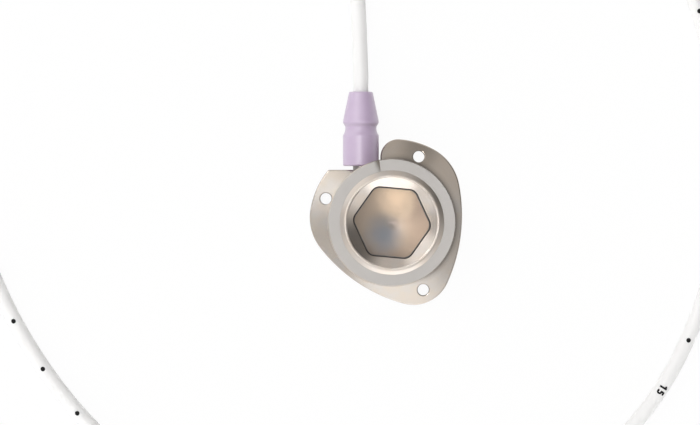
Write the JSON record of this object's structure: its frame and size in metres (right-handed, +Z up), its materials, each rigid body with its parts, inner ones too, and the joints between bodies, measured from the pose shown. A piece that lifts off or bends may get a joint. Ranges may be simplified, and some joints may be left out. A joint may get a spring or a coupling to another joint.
{
  "type": "implantable port",
  "caption": "Titanium vascular access port with a clear septum in a hexagonal window, a lobed suture flange and a barbed side stem, with a white catheter locked on by a lavender sleeve.",
  "frame": {"origin": "on the septum's axis, at the flat underside of the base", "axes": "+Z up out of the septum, towards the needle; +Y along the outlet stem, away from the port; +X to the right in the picture"},
  "size_m": [0.1399, 0.1389, 0.0108],
  "materials": {
    "satin_titanium": "satin turned titanium, matte on the flat rim",
    "polished_titanium": "polished titanium with fine turning lines",
    "clear_silicone": "clear silicone rubber",
    "lavender_plastic": "satin moulded plastic",
    "white_silicone": "smooth white silicone rubber"
  },
  "bodies": {
    "root": {"port_body": "satin_titanium", "septum_collar": "polished_titanium", "outlet_stem": "polished_titanium", "septum": "clear_silicone", "connector_sleeve": "lavender_plastic", "catheter": "white_silicone"}
  },
  "joints": []
}
